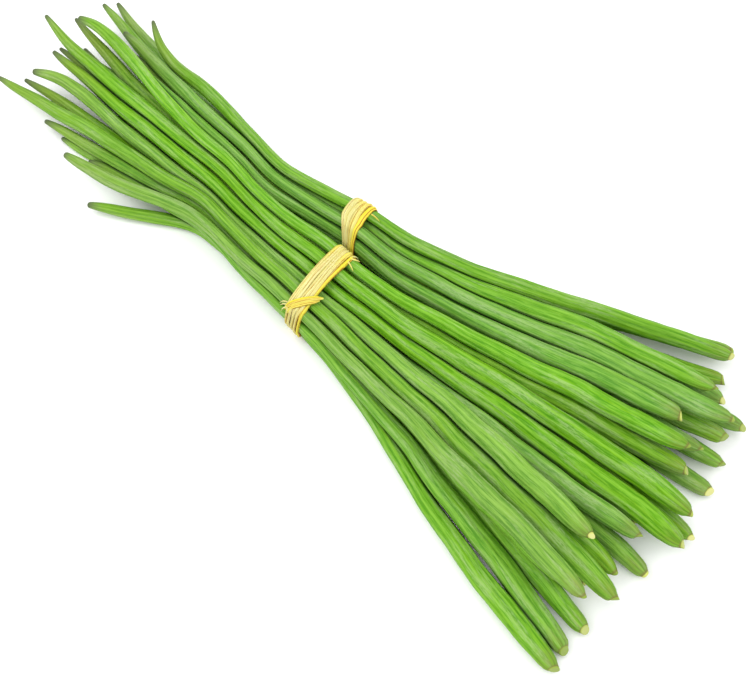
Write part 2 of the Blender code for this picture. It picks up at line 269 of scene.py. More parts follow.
def waist(xs):
    # the share of size kept and the shift sideways at places along the bunch
    steps = np.arange(-0.3, 0.3, 0.001)
    places, kept, shift = zip(*waistLook)
    smooth = [rounded(np.interp(steps, places, values), waistWindow) for values in (kept, shift)]
    return [np.interp(xs, steps, values) for values in smooth]


def podGirth(sections, xs, slope, bluntness, cutWidth):
    girth = np.interp(xs, sections[:, 0], sections[:, 3])
    girth = np.convolve(np.pad(girth, 2, "edge"), (0.1, 0.2, 0.4, 0.2, 0.1), "valid")
    girth /= np.sqrt(1 + slope**2)
    fromTip, fromStalk = xs - xs[0], xs[-1] - xs
    reach = podLook["tipSteps"][-1]
    full = girth[fromStalk < reach].max()
    neck = np.interp(reach, fromTip, girth)
    tip = np.interp(fromTip, podLook["tipSteps"], podLook["tipShares"]) * neck
    tip *= 1 + (bluntness - 1) * np.clip(1 - fromTip / reach, 0, 1)
    girth = np.where(fromTip < reach, np.maximum(tip, np.minimum(girth, tip * 1.1)), girth)
    shares = np.interp(fromStalk, podLook["stalkSteps"], podLook["stalkShares"])
    stalk = (shares + cutWidth * np.clip(1 - fromStalk / podLook["cutReach"], 0, 1)) * full
    return np.where(fromStalk < podLook["stalkSteps"][-1], stalk, girth)


def podLine(index, name):
    sections = readSections(name)
    start, end = sections[0, 0], sections[-1, 0]
    draw = random.Random(100 + index)
    steps = np.linspace(start, end, int((end - start) * 1000) + 1)
    rough = [np.interp(steps, sections[:, 0], sections[:, k]) for k in (1, 2)]
    smooth = [rounded(values, podLook["cornerWindow"]) for values in rough]
    xs = ringPlaces(start, end)
    ys, zs = (np.interp(xs, steps, values) for values in smooth)
    slope = np.hypot(np.gradient(ys, xs), np.gradient(zs, xs))
    fromTip, fromStalk = xs - start, end - xs
    kept, shift = waist(xs)
    usualBend = 1000 * (draw.uniform(-1, 1) * podLook["tipBend"])
    usualCourse = [usualBend * max(0, 1 - place / podLook["bendReach"]) ** 2 for place in tipPlaces]
    usual = (draw.uniform(0.85, 1.08), draw.random(), usualCourse)
    bluntness, brown, course = tipKinds.get(name, usual)
    course = rounded(np.interp(steps - start, tipPlaces, course), podLook["courseWindow"]) / 1000
    girth = podGirth(sections, xs, slope, bluntness, draw.random() ** 2 * podLook["widestCut"]) * kept
    ys = ys * kept + shift + np.interp(xs, steps, course)
    lean = rounded(np.interp(steps, *zip(*leans.get(name, ((0, 0),)))), podLook["leanWindow"])
    ys += np.interp(xs, steps, lean) / 1000
    ys += stalkShifts.get(name, 0) / 1000 * np.clip(1 - fromStalk / podLook["shiftReach"], 0, 1) ** 1.5
    zs = zs * kept
    for values, lift in ((ys, 1.0), (zs, 0.4)):
        wave = np.sin(xs * draw.uniform(50, 80) + draw.uniform(0, 6.3))
        wave += 0.6 * np.sin(xs * draw.uniform(110, 150) + draw.uniform(0, 6.3))
        values += podLook["sway"] * lift * wave
        stalkBend = draw.uniform(-1, 1) * podLook["stalkBend"]
        values += stalkBend * lift * np.clip(1 - fromStalk / podLook["stalkReach"], 0, 1) ** 2
    girth *= 1 + podLook["swell"] * np.clip(np.abs(xs - podLook["tieX"]) / 0.02 - 0.7, 0, 1)
    slim = np.clip((podLook["slimFrom"] - fromStalk) / podLook["slimOver"], 0, 1)
    girth *= 1 - (1 - stalkGirths.get(name, 1)) * slim
    zs = np.maximum(zs, girth * podLook["restShare"])
    return np.column_stack([xs, ys, zs]), girth, fromTip, fromStalk, brown


def sectionAt(line, x):
    # a pod's middle and girth at places along the bunch
    points, girth = line[:2]
    return [np.interp(x, points[:, 0], values) for values in (points[:, 1], points[:, 2], girth)]


lines = [podLine(index, name) for index, name in enumerate(podNames)]
print("middle lines read")


# The ribbed skin: one Geometry Nodes tree turns a pod's middle line into its surface

def buildRibTree():
    tree = bpy.data.node_groups.new("ribbedPod", "GeometryNodeTree")
    addSocket(tree, "Geometry", "NodeSocketGeometry")
    addSocket(tree, "Geometry", "NodeSocketGeometry", side="OUTPUT")
    addSocket(tree, "Sides", "NodeSocketInt", podLook["sides"])
    addSocket(tree, "Rib Count", "NodeSocketFloat", podLook["ribCount"])
    addSocket(tree, "Rib Depth", "NodeSocketFloat", podLook["ribDepth"])
    addSocket(tree, "Valve Depth", "NodeSocketFloat", podLook["valveDepth"])
    addSocket(tree, "Unevenness", "NodeSocketFloat", podLook["unevenness"])
    addSocket(tree, "Seed Bulge", "NodeSocketFloat", podLook["seedBulge"])
    addSocket(tree, "Seed Spacing", "NodeSocketFloat", podLook["seedSpacing"])
    addSocket(tree, "Cut Slant", "NodeSocketFloat", podLook["cutSlant"])
    addSocket(tree, "Twist", "NodeSocketFloat", podLook["twist"])
    addSocket(tree, "Turn", "NodeSocketFloat", 0.0)
    addSocket(tree, "Seed", "NodeSocketFloat", 0.0)
    addSocket(tree, "Material", "NodeSocketMaterial")
    given = addNode(tree, "NodeGroupInput").outputs
    named = {key: readNamed(tree, key) for key in ("girth", "fromTip", "fromStalk")}
    here = addNode(tree, "GeometryNodeInputPosition").outputs[0]

    # the line as a curve, with each section's middle kept for later
    curve = addNode(tree, "GeometryNodeMeshToCurve", {0: given["Geometry"]}).outputs[0]
    curve = addNode(tree, "GeometryNodeSetCurveNormal", {0: curve}, mode="Z_UP").outputs[0]
    middle = addNode(tree, "GeometryNodeCaptureAttribute", {0: curve})
    middle.capture_items.new("VECTOR", "Middle")
    tree.links.new(here, middle.inputs[1])
    tube = sweep(tree, middle.outputs[0], given["Sides"], named["girth"])

    # the angle round the pod, turning slowly along it as the ribs of the solid do
    outward = vectorMaths(tree, "SUBTRACT", here, middle.outputs[1])
    apart = addNode(tree, "ShaderNodeSeparateXYZ", {0: outward}).outputs
    placeX = addNode(tree, "ShaderNodeSeparateXYZ", {0: middle.outputs[1]}).outputs[0]
    turned = plus(tree, times(tree, placeX, given["Twist"]), given["Turn"])
    angle = minus(tree, maths(tree, "ARCTAN2", apart[2], apart[1]), turned)
    onSkin = combined(tree, maths(tree, "COSINE", angle), maths(tree, "SINE", angle), named["fromTip"])
    seeded = combined(tree, given["Seed"], given["Seed"], given["Seed"])

    def skinNoise(aroundScale, alongScale, detail):
        place = vectorMaths(tree, "MULTIPLY", onSkin, (aroundScale, aroundScale, alongScale))
        inputs = {"Vector": vectorMaths(tree, "ADD", place, seeded), "Scale": 1.0, "Detail": detail}
        return addNode(tree, "ShaderNodeTexNoise", inputs).outputs[0]

    # ribs of uneven width and depth, and three valves, all fading out on the thin tip and the cut end
    tipEnd, stalkEnd = remap(tree, named["fromTip"], 0.0, 0.03), remap(tree, named["fromStalk"], 0.0, 0.004)
    ends = maths(tree, "MINIMUM", tipEnd, stalkEnd)
    warp = times(tree, minus(tree, skinNoise(1.3, 9.0, 1.0), 0.5), 0.9)
    ribTurn = times(tree, plus(tree, angle, warp), given["Rib Count"])
    ribWave = plus(tree, times(tree, maths(tree, "COSINE", ribTurn), 0.5), 0.5)
    rib = maths(tree, "POWER", ribWave, 0.7)
    depth = times(tree, remap(tree, skinNoise(1.8, 12.0, 1.0), 0.3, 0.7, 0.35, 1.5), given["Rib Depth"])
    groove = times(tree, minus(tree, 1.0, rib), depth)
    valveWave = maths(tree, "COSINE", times(tree, angle, 3.0))
    valve = times(tree, minus(tree, 0.5, times(tree, valveWave, 0.5)), given["Valve Depth"])
    uneven = times(tree, minus(tree, skinNoise(0.9, 32.0, 2.0), 0.5), given["Unevenness"])
    seedTurn = times(tree, maths(tree, "DIVIDE", named["fromTip"], given["Seed Spacing"]), 2 * math.pi)
    seedWave = maths(tree, "SINE", plus(tree, seedTurn, given["Seed"]))
    bulge = times(tree, times(tree, seedWave, given["Seed Bulge"]), skinNoise(0.1, 18.0, 1.0))
    change = minus(tree, plus(tree, uneven, bulge), plus(tree, groove, valve))
    factor = plus(tree, times(tree, change, ends), 1.0)

    # the cut end stands a little aslant, and nothing goes below the table
    slant = times(tree, maths(tree, "COSINE", plus(tree, angle, given["Seed"])), given["Cut Slant"])
    slant = times(tree, slant, remap(tree, named["fromStalk"], 0.003, 0.0))
    moved = vectorMaths(tree, "ADD", middle.outputs[1], vectorMaths(tree, "SCALE", outward, factor))
    moved = vectorMaths(tree, "ADD", moved, combined(tree, slant))
    moved = vectorMaths(tree, "MAXIMUM", moved, tableTop)
    skin = addNode(tree, "GeometryNodeSetPosition", {"Geometry": tube, "Position": moved}).outputs[0]

    # what the material reads
    for key, kind, value in (("rib", "FLOAT", rib), ("skin", "FLOAT_VECTOR", onSkin)):
        skin = storeNamed(tree, skin, key, kind, value)
    return finishTree(tree, skin, given["Material"])


def treeInput(tree, name):
    return next(item.identifier for item in tree.interface.items_tree
                if item.name == name and item.in_out == "INPUT")


def grow(base, tree, name, settings):
    # the base through the tree, kept as a plain mesh
    modifier = base.modifiers.new("grow", "NODES")
    modifier.node_group = tree
    for key, value in settings.items():
        modifier[treeInput(tree, key)] = value
    evaluated = base.evaluated_get(bpy.context.evaluated_depsgraph_get())
    grown = bpy.data.meshes.new_from_object(evaluated)
    grown.name = name
    piece = bpy.data.objects.new(name, grown)
    bpy.context.scene.collection.objects.link(piece)
    bpy.data.objects.remove(base)
    return piece


def growPod(index, name, tree, material):
    points, girth, fromTip, fromStalk, brown = lines[index]
    mesh = bpy.data.meshes.new(name + "_line")
    mesh.from_pydata([tuple(p) for p in points], [(i, i + 1) for i in range(len(points) - 1)], [])
    given = {"girth": girth, "fromTip": fromTip, "fromStalk": fromStalk}
    given["tone"] = np.full(len(points), random.Random(500 + index).random())
    given["brown"] = np.full(len(points), brown)
    for key, values in given.items():
        mesh.attributes.new(key, "FLOAT", "POINT").data.foreach_set("value", values.astype(np.float32))
    line = bpy.data.objects.new(name + "_line", mesh)
    bpy.context.scene.collection.objects.link(line)
    turn = goldenAngle * index + podLook["twist"] * ribOrigin
    return grow(line, tree, name + "_skin", {"Turn": turn, "Seed": 3.7 * index + 1.3, "Material": material})


cleftLook = {
    "nearest": 0.0002,
    "farthest": 0.0019,
}


def storeNearby(pods):
    # how close each point of a skin lies to the pods beside it, from 0 for clear of them to 1
    nearest, farthest = cleftLook["nearest"], cleftLook["farthest"]
    for index, pod in enumerate(pods):
        places = np.empty(len(pod.data.vertices) * 3, np.float32)
        pod.data.vertices.foreach_get("co", places)
        places = places.reshape(-1, 3)
        clear = np.full(len(places), 1.0)
        for other, line in enumerate(lines):
            if other != index:
                y, z, r = sectionAt(line, places[:, 0])
                beyond = np.maximum(line[0][0, 0] - places[:, 0], places[:, 0] - line[0][-1, 0])
                aside = np.hypot(places[:, 1] - y, places[:, 2] - z) - r
                clear = np.minimum(clear, np.hypot(aside.clip(0), beyond.clip(0)))
        share = np.clip((farthest - clear) / (farthest - nearest), 0, 1)
        nearby = (share**2 * (3 - 2 * share)).astype(np.float32)
        pod.data.attributes.new("nearby", "FLOAT", "POINT").data.foreach_set("value", nearby)


# Shared shader groups

def buildStreakGroup():
    group = bpy.data.node_groups.new("lengthStreaks", "ShaderNodeTree")
    addSocket(group, "Vector", "NodeSocketVector")
    addSocket(group, "Around", "NodeSocketFloat", 6.0)
    addSocket(group, "Along", "NodeSocketFloat", 30.0)
    addSocket(group, "Low", "NodeSocketFloat", 0.35)
    addSocket(group, "High", "NodeSocketFloat", 0.65)
    addSocket(group, "Mask", "NodeSocketFloat", side="OUTPUT")
    given = addNode(group, "NodeGroupInput").outputs
    scale = combined(group, given["Around"], given["Around"], given["Along"])
    place = vectorMaths(group, "MULTIPLY", given["Vector"], scale)
    inputs = {"Vector": place, "Scale": 1.0, "Detail": 4.0, "Roughness": 0.6}
    noise = addNode(group, "ShaderNodeTexNoise", inputs).outputs[0]
    addNode(group, "NodeGroupOutput", {0: remap(group, noise, given["Low"], given["High"])})
    return group


def useGroup(tree, group, **inputs):
    node = addNode(tree, "ShaderNodeGroup", node_tree=group)
    for key, value in inputs.items():
        linkOrSet(tree, node.inputs[key], value)
    return node.outputs[0]


def newMaterial(name, roughness):
    material = bpy.data.materials.new(name)
    material.use_nodes = True
    tree = material.node_tree
    shader = tree.nodes["Principled BSDF"]
    shader.inputs["Roughness"].default_value = roughness
    shader.inputs["Metallic"].default_value = 0
    return material, tree, shader


# the light colour is painted highlight on the rib crests and also pale hair streaks; the groove colour is
# painted shade in the rib grooves and also dark streaks; the cleft colour is painted shade where neighbours
# lie close
podColours = {
    "mid": shade(100, 156, 28),
    "light": shade(132, 182, 62),
    "groove": shade(58, 118, 12),
    "deep": shade(80, 142, 18),
    "sun": shade(122, 172, 26),
    "bloom": shade(150, 178, 112),
    "cleft": shade(16, 52, 4),
    "tip": shade(118, 142, 76),
    "tipEnd": shade(70, 74, 60),
    "yellowTip": shade(132, 136, 58),
    "blush": shade(122, 112, 58),
    "rim": shade(116, 104, 56),
    "stub": shade(134, 158, 62),
    "paleStub": shade(196, 204, 104),
    "dullCut": shade(140, 160, 78),
    "cut": shade(212, 212, 138),
}


def podSkinMaterial(streaks):
    material, tree, shader = newMaterial("podSkin", 0.5)
    read = {key: addNode(tree, "ShaderNodeAttribute", attribute_name=key) for key in
            ("skin", "rib", "fromTip", "fromStalk", "tone", "brown", "nearby")}
    skin = read["skin"].outputs["Vector"]
    rib, tone, brown = (read[key].outputs["Fac"] for key in ("rib", "tone", "brown"))
    fromTip, fromStalk, nearby = (read[key].outputs["Fac"] for key in ("fromTip", "fromStalk", "nearby"))
    shifted = vectorMaths(tree, "ADD", skin, combined(tree, z=times(tree, tone, 7.0)))

    # painted highlight on the rib crests and painted shade in the rib grooves, under fine streaks, with
    # broad patches of deep green and pale bloom
    fine = useGroup(tree, streaks, Vector=shifted, Around=6.5, Along=45.0, Low=0.38, High=0.62)
    hair = useGroup(tree, streaks, Vector=shifted, Around=10.0, Along=115.0, Low=0.44, High=0.62)
    shadow = useGroup(tree, streaks, Vector=shifted, Around=8.0, Along=62.0, Low=0.50, High=0.36)
    sun = useGroup(tree, streaks, Vector=shifted, Around=3.2, Along=20.0, Low=0.50, High=0.66)
    broad = useGroup(tree, streaks, Vector=shifted, Around=1.3, Along=11.0, Low=0.40, High=0.62)
    cloud = useGroup(tree, streaks, Vector=shifted, Around=1.6, Along=26.0, Low=0.46, High=0.64)
    fleck = useGroup(tree, streaks, Vector=shifted, Around=7.0, Along=330.0, Low=0.46, High=0.60)
    colour = mixColour(tree, times(tree, broad, 0.75), podColours["mid"], podColours["deep"])
    # painted shade: the groove colour laid into the rib grooves
    paintedGrooveShade = times(tree, remap(tree, rib, 0.75, 0.1), 0.5)
    colour = mixColour(tree, paintedGrooveShade, colour, podColours["groove"])
    colour = mixColour(tree, times(tree, sun, 0.55), colour, podColours["sun"])
    colour = mixColour(tree, times(tree, shadow, 0.5), colour, podColours["groove"])
    # painted highlight: the light colour laid along the rib crests, broken by fine streaks
    paintedCrestHighlight = times(tree, remap(tree, rib, 0.3, 1.0), fine)
    colour = mixColour(tree, times(tree, paintedCrestHighlight, 0.75), colour, podColours["light"])
    colour = mixColour(tree, times(tree, hair, 0.5), colour, podColours["light"])
    mottle = plus(tree, times(tree, maths(tree, "MAXIMUM", hair, fleck), 0.45), 0.2)
    colour = mixColour(tree, times(tree, cloud, mottle), colour, podColours["bloom"])
    hue = remap(tree, tone, 0, 1, 0.493, 0.503, smooth=False)
    saturation = remap(tree, maths(tree, "FRACT", times(tree, tone, 7.3)), 0, 1, 0.92, 1.04, smooth=False)
    value = remap(tree, maths(tree, "FRACT", times(tree, tone, 3.1)), 0, 1, 0.90, 1.05, smooth=False)
    inputs = {"Hue": hue, "Saturation": saturation, "Value": value, "Color": colour}
    own = addNode(tree, "ShaderNodeHueSaturation", inputs).outputs[0]

    # greyer or browner tip, brownish skin by the stalk, and the pale cut end with its brown rim
    edge = useGroup(tree, streaks, Vector=shifted, Around=2.0, Along=90.0, Low=0.25, High=0.75)
    yellowed = times(tree, remap(tree, fromTip, 0.075, 0.010), times(tree, brown, 0.45))
    colour = mixColour(tree, yellowed, own, podColours["yellowTip"])
    tipLength = plus(tree, times(tree, brown, 0.018), times(tree, edge, 0.006))
    toTip = minus(tree, 1.0, maths(tree, "DIVIDE", fromTip, tipLength))
    toTip = maths(tree, "MAXIMUM", toTip, 0.0)
    colour = mixColour(tree, times(tree, toTip, 0.8), colour, podColours["tip"])
    darkEnd = times(tree, maths(tree, "POWER", toTip, 2.0), 0.9)
    colour = mixColour(tree, darkEnd, colour, podColours["tipEnd"])
    blush = times(tree, remap(tree, fromStalk, 0.020, 0.002), edge)
    colour = mixColour(tree, times(tree, blush, 0.5), colour, podColours["blush"])
    rim = times(tree, remap(tree, fromStalk, 0.0024, 0.0012), 0.75)
    colour = mixColour(tree, rim, colour, podColours["rim"])
    pale = remap(tree, maths(tree, "FRACT", times(tree, tone, 5.7)), 0.5, 0.8)
    stub = mixColour(tree, pale, podColours["stub"], podColours["paleStub"])
    cut = mixColour(tree, pale, podColours["dullCut"], podColours["cut"])
    colour = mixColour(tree, remap(tree, fromStalk, 0.0012, 0.0008), colour, stub)
    colour = mixColour(tree, remap(tree, fromStalk, 0.0003, 0.0001), colour, cut)

    # little light reaches the clefts where a neighbour lies close
    colour = mixColour(tree, times(tree, nearby, 0.9), colour, podColours["cleft"])
    tree.links.new(colour, shader.inputs["Base Color"])

    # a waxy skin, rougher where the bloom lies
    rough = plus(tree, times(tree, cloud, 0.12), 0.52)
    tree.links.new(rough, shader.inputs["Roughness"])
    height = plus(tree, times(tree, fine, 0.5), times(tree, hair, 0.3))
    inputs = {"Height": height, "Strength": 0.4, "Distance": 0.0004}
    bump = addNode(tree, "ShaderNodeBump", inputs).outputs[0]
    tree.links.new(bump, shader.inputs["Normal"])
    shader.inputs["Specular IOR Level"].default_value = 0.16
    return material


streakGroup = buildStreakGroup()
podSkin = podSkinMaterial(streakGroup)
ribTree = buildRibTree()
pods = [growPod(index, name, ribTree, podSkin) for index, name in enumerate(podNames)]
storeNearby(pods)
print("pods grown,", sum(len(p.data.polygons) for p in pods), "faces")


# The raffia: flat folded strands laid side by side round each half of the bunch, with a knot

raffiaLook = {
    "steps": 240,
    "sides": 20,
    "thickness": 0.0010,
    "foldDepth": 0.28,
    "droop": 0.75,
    "gap": 0.0001,
    "frontX": 0.0020,
    "backX": -0.0065,
    "frontLean": 0.0015,
    "backLean": 0.0045,
    "frontBow": 0.0022,
    "backBow": 0.0052,
    "waver": 0.00035,
    "fibreWidth": 0.0010,
    "fibreHeight": 0.0006,
    "fibreArch": 0.0008,
}

# The back turn's spread across, from its inner side, where the front turn presses on it, to its outer side
bandSpread = ((-1.0, -0.6, 0.0, 0.6, 1.0), (0.6, 0.75, 1.3, 1.25, 1.1))

# Strands of a turn: place across the band, width, height over the pods, and tone from cream to yellow
frontStrands = (
    (-0.0053, 0.0026, 0.0001, 0.35),
    (-0.0030, 0.0033, 0.0004, 0.10),
    (-0.0003, 0.0036, 0.0002, 0.05),
    (0.0025, 0.0033, 0.0005, 0.25),
    (0.0050, 0.0028, 0.0002, 0.90),
)
backStrands = (
    (-0.0046, 0.0033, 0.0003, 0.12),
    (-0.0017, 0.0035, 0.0001, 0.25),
    (0.0013, 0.0033, 0.0005, 0.45),
    (0.0043, 0.0034, 0.0002, 0.95),
)

# The knot's way over the front turn: x, y, lift, width, thickness
knotPath = (
    (-0.0035, -0.0478, -0.0012, 0.0026, 0.0010),
    (-0.0012, -0.0450, 0.0000, 0.0034, 0.0013),
    (0.0015, -0.0415, 0.0009, 0.0040, 0.0016),
    (0.0045, -0.0378, 0.0012, 0.0036, 0.0015),
    (0.0073, -0.0345, 0.0010, 0.0030, 0.0012),
    (0.0092, -0.0325, 0.0003, 0.0026, 0.0010),
    (0.0112, -0.0300, -0.0004, 0.0020, 0.0010),
)
# Strands of the knot: shift sideways, extra lift, share of the width, first and last part, tone
knotStrands = (
    (-0.0013, 0.0000, 0.75, 0.00, 0.90, 0.80),
    (0.0012, 0.0002, 0.85, 0.00, 1.00, 0.98),
    (0.0000, 0.0007, 0.70, 0.08, 1.00, 0.70),
)
# Loose fibres: x, y, heading in degrees, length, tone
fibres = (
    (-0.0038, -0.0448, 196, 0.0055, 0.15),
    (-0.0036, -0.0456, 212, 0.0050, 0.05),
    (-0.0034, -0.0464, 232, 0.0040, 0.20),
    (0.0048, -0.0030, -15, 0.0085, 0.5),
    (0.0052, -0.0010, 15, 0.0065, 0.6),
    (0.0048, -0.0010, 60, 0.0060, 0.3),
    (-0.0050, 0.0290, 0, 0.0075, 0.7),
)


def podSections(members, x):
    return np.array([sectionAt(lines[index], x) for index in members])


def hullLoop(members, x, outward, steps):
    # a tight loop round the members at x, as evenly spaced points of Y and Z
    found = podSections(members, x)
    facing = np.linspace(0, 2 * math.pi, 1441)[:-1] - math.pi / 2
    normals = np.column_stack([np.cos(facing), np.sin(facing)])
    support = found[:, :2] @ normals.T + found[:, 2:]
    chosen = support.argmax(0)
    points = found[chosen, :2] + normals * (found[chosen, 2:] + outward)
    closed = np.vstack([points, points[:1]])
    run = np.concatenate([[0], np.cumsum(np.linalg.norm(np.diff(closed, axis=0), axis=1))])
    places = np.linspace(0, run[-1], steps, endpoint=False)
    return np.column_stack([np.interp(places, run, closed[:, k]) for k in (0, 1)])


def buildStrandTree():
    tree = bpy.data.node_groups.new("foldedStrand", "GeometryNodeTree")
    addSocket(tree, "Geometry", "NodeSocketGeometry")
    addSocket(tree, "Geometry", "NodeSocketGeometry", side="OUTPUT")
    addSocket(tree, "Sides", "NodeSocketInt", raffiaLook["sides"])
    addSocket(tree, "Fold Depth", "NodeSocketFloat", raffiaLook["foldDepth"])
    addSocket(tree, "Droop", "NodeSocketFloat", raffiaLook["droop"])
    addSocket(tree, "Material", "NodeSocketMaterial")
    given = addNode(tree, "NodeGroupInput").outputs
    named = {key: readNamed(tree, key) for key in ("wide", "thick", "start")}
    outward = readNamed(tree, "outward", "FLOAT_VECTOR")

    # each path as a curve that keeps its middle, its heading, its outward side and the length so far
    curve = addNode(tree, "GeometryNodeMeshToCurve", {0: given["Geometry"]}).outputs[0]
    inputs = {0: curve, "Normal": outward}
    curve = addNode(tree, "GeometryNodeSetCurveNormal", inputs, mode="FREE").outputs[0]
    kept = addNode(tree, "GeometryNodeCaptureAttribute", {0: curve})
    here = addNode(tree, "GeometryNodeInputPosition").outputs[0]
    ahead = addNode(tree, "GeometryNodeInputTangent").outputs[0]
    length = addNode(tree, "GeometryNodeSplineParameter").outputs["Length"]
    captured = (("VECTOR", "Middle", here), ("VECTOR", "Ahead", ahead), ("VECTOR", "Outward", outward),
                ("FLOAT", "Run", length))
    for place, (kind, label, value) in enumerate(captured):
        kept.capture_items.new(kind, label)
        tree.links.new(value, kept.inputs[place + 1])
    middle, ahead, outward, run = kept.outputs[1:5]
    tube = sweep(tree, kept.outputs[0], given["Sides"])

    # each point's place across the strand and above it
    across = vectorMaths(tree, "NORMALIZE", vectorMaths(tree, "CROSS_PRODUCT", ahead, outward))
    facing = vectorMaths(tree, "CROSS_PRODUCT", across, ahead)
    spoke = vectorMaths(tree, "SUBTRACT", here, middle)
    side = vectorMaths(tree, "DOT_PRODUCT", spoke, across)
    lift = vectorMaths(tree, "DOT_PRODUCT", spoke, facing)

    # lengthwise folds on the upper face, and edges that curl down
    wander = times(tree, maths(tree, "SINE", plus(tree, times(tree, run, 70), named["start"])), 1.2)
    foldTurn = plus(tree, times(tree, side, 4.8), plus(tree, wander, named["start"]))
    fold = times(tree, maths(tree, "COSINE", foldTurn), given["Fold Depth"])
    upper = maths(tree, "GREATER_THAN", lift, 0.0)
    bow = times(tree, maths(tree, "SIGN", lift), maths(tree, "POWER", maths(tree, "ABSOLUTE", lift), 0.6))
    height = times(tree, plus(tree, times(tree, fold, upper), 0.5), bow)
    droop = times(tree, maths(tree, "POWER", maths(tree, "ABSOLUTE", side), 3.0), given["Droop"])
    height = times(tree, minus(tree, height, droop), named["thick"])
    shift = times(tree, times(tree, side, named["wide"]), 0.5)
    moved = vectorMaths(tree, "ADD", middle, vectorMaths(tree, "SCALE", across, shift))
    moved = vectorMaths(tree, "ADD", moved, vectorMaths(tree, "SCALE", facing, height))
    moved = vectorMaths(tree, "MAXIMUM", moved, tableTop)

    # what the material reads, stored while the tube is still round: a place on the strand, and where
    # it lies between the edges and in the folds
    sideways = times(tree, shift, 1000.0)
    skin = combined(tree, sideways, times(tree, lift, 0.4), run)
    across = combined(tree, side, foldTurn, times(tree, named["wide"], 1000.0))
    strand = tube
    for key, value in (("across", across), ("skin", skin)):
        strand = storeNamed(tree, strand, key, "FLOAT_VECTOR", value)
    strand = addNode(tree, "GeometryNodeSetPosition", {"Geometry": strand, "Position": moved}).outputs[0]
    return finishTree(tree, strand, given["Material"])


class StrandPaths:
    # gathers the strands' paths, with their sizes along the way, as one mesh of lines
    def __init__(self):
        self.points, self.edges, self.outward = [], [], []
        self.values = {"wide": [], "thick": [], "tone": [], "start": []}

    def add(self, path, outward, widths, heights, tone, closed, draw):
        base, count = len(self.points), len(path)
        self.points.extend(tuple(p) for p in path)
        self.edges.extend((base + i, base + i + 1) for i in range(count - 1))
        if closed:
            self.edges.append((base + count - 1, base))
        self.outward.extend(tuple(o) for o in outward)
        start = draw.uniform(0, 6.3)
        for key, value in (("wide", widths), ("thick", heights), ("tone", tone), ("start", start)):
            self.values[key].extend(np.broadcast_to(value, count))

    def build(self, name, tree, material):
        mesh = bpy.data.meshes.new(name + "_paths")
        mesh.from_pydata(self.points, self.edges, [])
        outward = np.array(self.outward, np.float32).ravel()
        mesh.attributes.new("outward", "FLOAT_VECTOR", "POINT").data.foreach_set("vector", outward)
        for key, values in self.values.items():
            data = mesh.attributes.new(key, "FLOAT", "POINT").data
            data.foreach_set("value", np.array(values, np.float32))
        paths = bpy.data.objects.new(name + "_paths", mesh)
        bpy.context.scene.collection.objects.link(paths)
        return grow(paths, tree, name, {"Material": material})


def wavering(draw, steps, size):
    # a gentle waver that meets itself after one turn
    turn = np.linspace(0, 2 * math.pi, steps, endpoint=False)
    total = 0
    for wave in (1, 2, 3, 5):
        total = total + draw.uniform(0.4, 1) / wave ** 0.5 * np.sin(wave * turn + draw.uniform(0, 6.3))
    return size * total


def addTurn(paths, half, members, strands, seed, spreads):
    # one turn of the strip, which spreads across or narrows to cords low on the outer side by the knot
    centreX, lean, bow = (raffiaLook[half + key] for key in ("X", "Lean", "Bow"))
    steps = raffiaLook["steps"]
    for number, (offset, width, height, tone) in enumerate(strands):
        draw = random.Random(seed + number)
        lift = raffiaLook["gap"] + raffiaLook["thickness"] / 2 + height
        loop = hullLoop(members, centreX + offset, lift, steps)
        middle = (loop.max(0) + loop.min(0)) / 2
        reach = (loop.max(0) - loop.min(0)) / 2
        along = (loop[:, 0] - middle[0]) / reach[0]
        low = np.clip((-along - 0.72) / 0.2, 0, 1) * (not spreads)
        spread = np.interp(along, bandSpread[0], bandSpread[1]) if spreads else 1 - 0.05 * low
        xs = centreX + offset * spread - lean * along - bow * (1 - along**2)
        xs = xs + wavering(draw, steps, raffiaLook["waver"])
        path = np.column_stack([xs, loop])
        for _ in range(4):
            path[:, 1:] = (np.roll(path[:, 1:], 1, 0) + 2 * path[:, 1:] + np.roll(path[:, 1:], -1, 0)) / 4
        outward = np.column_stack([np.zeros(steps), (loop - middle) / reach**2])
        widths = width * (1.04 + wavering(draw, steps, 0.07)) * (1 - 0.42 * low) * (spread if spreads else 1)
        heights = raffiaLook["thickness"] * (1 + 0.35 * low)
        over = np.clip((along - 0.35) / 0.4, 0, 1) * draw.uniform(0.2, 0.55)
        paths.add(path, outward, widths, heights, np.minimum(tone + over, 1), True, draw)


def upperLine(members, x, outward):
    # the upper half of a turn's loop as height by Y, down to the table on the outer side
    loop = hullLoop(members, x, outward, 600)
    middle = (loop[:, 1].max() + loop[:, 1].min()) / 2
    upper = loop[loop[:, 1] > middle * 0.5]
    return upper[upper[:, 0].argsort()]


def overSurface(members, path, extra):
    # places of a path given as x, y and lift, laid on the pods with the strip's own height beneath
    rows = []
    for x, y, lift in path:
        line = upperLine(members, x, extra + lift)
        here = np.interp(y, line[:, 0], line[:, 1])
        beside = np.interp((y - 0.001, y + 0.001), line[:, 0], line[:, 1])
        rows.append((x, y, here, 0, -(beside[1] - beside[0]) / 0.002, 1))
    rows = np.array(rows)
    return rows[:, :3], rows[:, 3:]


def spaced(points, count):
    # a given way drawn out to many smooth steps
    points = np.array(points)
    run = np.concatenate([[0], np.cumsum(np.linalg.norm(np.diff(points[:, :2], axis=0), axis=1))])
    places = np.linspace(0, run[-1], count)
    window = max(3, count // 6)
    return np.column_stack([rounded(np.interp(places, run, values), window) for values in points.T])


